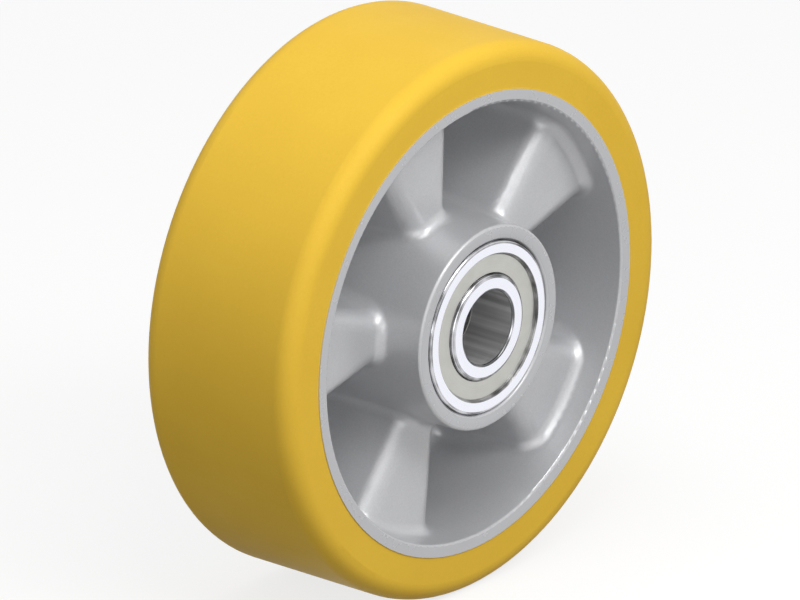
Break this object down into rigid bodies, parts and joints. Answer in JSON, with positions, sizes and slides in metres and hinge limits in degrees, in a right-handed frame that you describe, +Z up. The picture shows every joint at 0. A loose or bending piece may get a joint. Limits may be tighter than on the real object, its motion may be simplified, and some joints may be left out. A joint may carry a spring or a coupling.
{
  "type": "castor wheel with ball bearings",
  "caption": "Round castor wheel with a cast polyurethane tread on a ribbed die-cast aluminium centre, running on shielded ball bearings in the hub.",
  "frame": {"origin": "centre of the wheel, on its axle's line", "axes": "+Y along the axle, with the front face towards -Y; the wheel spins about +Y; +Z up, with the wheel upright"},
  "size_m": [0.15, 0.06, 0.15],
  "materials": {
    "tread": "satin cast polyurethane",
    "cast_aluminium": "blasted die casting",
    "ring_steel": "ground bearing steel",
    "shield_steel": "plated sheet",
    "cage_steel": "pressed sheet",
    "ball_steel": "polished",
    "tube_steel": "drawn tube"
  },
  "bodies": {
    "axle_sleeve": {"front_inner_ring": "ring_steel", "rear_inner_ring": "ring_steel", "spacer_tube": "tube_steel"},
    "wheel": {"wheel_centre": "cast_aluminium", "tread": "tread", "front_outer_ring": "ring_steel", "front_outer_shield": "shield_steel", "front_inner_shield": "shield_steel", "rear_outer_ring": "ring_steel", "rear_outer_shield": "shield_steel", "rear_inner_shield": "shield_steel"},
    "front_cage": {"front_cage_outer_half": "cage_steel", "front_cage_inner_half": "cage_steel", "front_cage_rivets": "cage_steel"},
    "front_ball_1": {"front_ball_1": "ball_steel"},
    "front_ball_2": {"front_ball_2": "ball_steel"},
    "front_ball_3": {"front_ball_3": "ball_steel"},
    "front_ball_4": {"front_ball_4": "ball_steel"},
    "front_ball_5": {"front_ball_5": "ball_steel"},
    "front_ball_6": {"front_ball_6": "ball_steel"},
    "front_ball_7": {"front_ball_7": "ball_steel"},
    "front_ball_8": {"front_ball_8": "ball_steel"},
    "rear_cage": {"rear_cage_outer_half": "cage_steel", "rear_cage_inner_half": "cage_steel", "rear_cage_rivets": "cage_steel"},
    "rear_ball_1": {"rear_ball_1": "ball_steel"},
    "rear_ball_2": {"rear_ball_2": "ball_steel"},
    "rear_ball_3": {"rear_ball_3": "ball_steel"},
    "rear_ball_4": {"rear_ball_4": "ball_steel"},
    "rear_ball_5": {"rear_ball_5": "ball_steel"},
    "rear_ball_6": {"rear_ball_6": "ball_steel"},
    "rear_ball_7": {"rear_ball_7": "ball_steel"},
    "rear_ball_8": {"rear_ball_8": "ball_steel"}
  },
  "joints": [
    {"name": "wheel_spin", "type": "hinge", "parent": "axle_sleeve", "child": "wheel", "pos_m": [0, 0, 0], "axis": [0, 1, 0], "continuous": true},
    {"name": "front_cage_spin", "type": "hinge", "parent": "axle_sleeve", "child": "front_cage", "pos_m": [0, -0.023, 0], "axis": [0, 1, 0], "continuous": true},
    {"name": "front_ball_1_spin", "type": "hinge", "parent": "front_cage", "child": "front_ball_1", "pos_m": [-0.01675, -0.023, 0], "axis": [0, 1, 0], "continuous": true},
    {"name": "front_ball_2_spin", "type": "hinge", "parent": "front_cage", "child": "front_ball_2", "pos_m": [-0.01184, -0.023, 0.01184], "axis": [0, 1, 0], "continuous": true},
    {"name": "front_ball_3_spin", "type": "hinge", "parent": "front_cage", "child": "front_ball_3", "pos_m": [0, -0.023, 0.01675], "axis": [0, 1, 0], "continuous": true},
    {"name": "front_ball_4_spin", "type": "hinge", "parent": "front_cage", "child": "front_ball_4", "pos_m": [0.01184, -0.023, 0.01184], "axis": [0, 1, 0], "continuous": true},
    {"name": "front_ball_5_spin", "type": "hinge", "parent": "front_cage", "child": "front_ball_5", "pos_m": [0.01675, -0.023, 0], "axis": [0, 1, 0], "continuous": true},
    {"name": "front_ball_6_spin", "type": "hinge", "parent": "front_cage", "child": "front_ball_6", "pos_m": [0.01184, -0.023, -0.01184], "axis": [0, 1, 0], "continuous": true},
    {"name": "front_ball_7_spin", "type": "hinge", "parent": "front_cage", "child": "front_ball_7", "pos_m": [0, -0.023, -0.01675], "axis": [0, 1, 0], "continuous": true},
    {"name": "front_ball_8_spin", "type": "hinge", "parent": "front_cage", "child": "front_ball_8", "pos_m": [-0.01184, -0.023, -0.01184], "axis": [0, 1, 0], "continuous": true},
    {"name": "rear_cage_spin", "type": "hinge", "parent": "axle_sleeve", "child": "rear_cage", "pos_m": [0, 0.023, 0], "axis": [0, 1, 0], "continuous": true},
    {"name": "rear_ball_1_spin", "type": "hinge", "parent": "rear_cage", "child": "rear_ball_1", "pos_m": [0.01675, 0.023, 0], "axis": [0, 1, 0], "continuous": true},
    {"name": "rear_ball_2_spin", "type": "hinge", "parent": "rear_cage", "child": "rear_ball_2", "pos_m": [0.01184, 0.023, 0.01184], "axis": [0, 1, 0], "continuous": true},
    {"name": "rear_ball_3_spin", "type": "hinge", "parent": "rear_cage", "child": "rear_ball_3", "pos_m": [0, 0.023, 0.01675], "axis": [0, 1, 0], "continuous": true},
    {"name": "rear_ball_4_spin", "type": "hinge", "parent": "rear_cage", "child": "rear_ball_4", "pos_m": [-0.01184, 0.023, 0.01184], "axis": [0, 1, 0], "continuous": true},
    {"name": "rear_ball_5_spin", "type": "hinge", "parent": "rear_cage", "child": "rear_ball_5", "pos_m": [-0.01675, 0.023, 0], "axis": [0, 1, 0], "continuous": true},
    {"name": "rear_ball_6_spin", "type": "hinge", "parent": "rear_cage", "child": "rear_ball_6", "pos_m": [-0.01184, 0.023, -0.01184], "axis": [0, 1, 0], "continuous": true},
    {"name": "rear_ball_7_spin", "type": "hinge", "parent": "rear_cage", "child": "rear_ball_7", "pos_m": [0, 0.023, -0.01675], "axis": [0, 1, 0], "continuous": true},
    {"name": "rear_ball_8_spin", "type": "hinge", "parent": "rear_cage", "child": "rear_ball_8", "pos_m": [0.01184, 0.023, -0.01184], "axis": [0, 1, 0], "continuous": true}
  ],
  "couplings": [
    {"joint": "front_cage_spin", "follows": "wheel_spin", "ratio": 0.61848},
    {"joint": "front_ball_1_spin", "follows": "wheel_spin", "ratio": 1.9916},
    {"joint": "front_ball_2_spin", "follows": "wheel_spin", "ratio": 1.9916},
    {"joint": "front_ball_3_spin", "follows": "wheel_spin", "ratio": 1.9916},
    {"joint": "front_ball_4_spin", "follows": "wheel_spin", "ratio": 1.9916},
    {"joint": "front_ball_5_spin", "follows": "wheel_spin", "ratio": 1.9916},
    {"joint": "front_ball_6_spin", "follows": "wheel_spin", "ratio": 1.9916},
    {"joint": "front_ball_7_spin", "follows": "wheel_spin", "ratio": 1.9916},
    {"joint": "front_ball_8_spin", "follows": "wheel_spin", "ratio": 1.9916},
    {"joint": "rear_cage_spin", "follows": "wheel_spin", "ratio": 0.61848},
    {"joint": "rear_ball_1_spin", "follows": "wheel_spin", "ratio": 1.9916},
    {"joint": "rear_ball_2_spin", "follows": "wheel_spin", "ratio": 1.9916},
    {"joint": "rear_ball_3_spin", "follows": "wheel_spin", "ratio": 1.9916},
    {"joint": "rear_ball_4_spin", "follows": "wheel_spin", "ratio": 1.9916},
    {"joint": "rear_ball_5_spin", "follows": "wheel_spin", "ratio": 1.9916},
    {"joint": "rear_ball_6_spin", "follows": "wheel_spin", "ratio": 1.9916},
    {"joint": "rear_ball_7_spin", "follows": "wheel_spin", "ratio": 1.9916},
    {"joint": "rear_ball_8_spin", "follows": "wheel_spin", "ratio": 1.9916}
  ]
}
